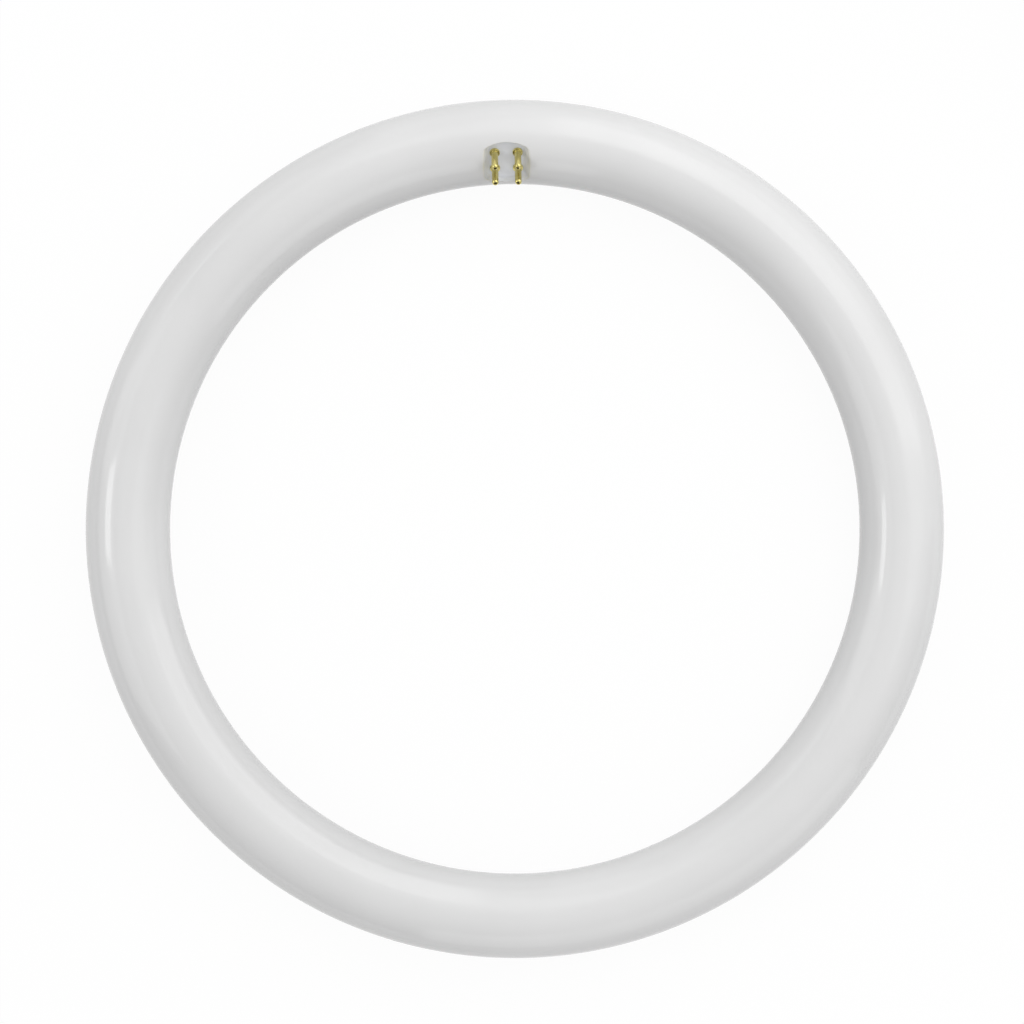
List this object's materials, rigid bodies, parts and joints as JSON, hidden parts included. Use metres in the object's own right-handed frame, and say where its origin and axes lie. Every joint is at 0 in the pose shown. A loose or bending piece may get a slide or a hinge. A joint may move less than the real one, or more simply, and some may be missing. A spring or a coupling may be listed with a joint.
{
  "type": "circular led tube",
  "caption": "Closed ring of opal white LED tube with a recessed pin base on its inner side, its brass contact pins pointing inward and up at a slant.",
  "frame": {"origin": "middle of the ring, on the surface that the tube lies on", "axes": "+Z along the ring's axis, away from that surface; +Y from the middle to the pin base; +X to the right with the base at the top"},
  "size_m": [0.299, 0.2989, 0.0314],
  "materials": {
    "opal_tube": "gloss",
    "base_plastic": "satin",
    "pin_brass": "polished"
  },
  "bodies": {
    "root": {"ring_tube": "opal_tube", "pin_base": "base_plastic", "contact_pin_1": "pin_brass", "contact_pin_2": "pin_brass", "contact_pin_3": "pin_brass", "contact_pin_4": "pin_brass"}
  },
  "joints": []
}
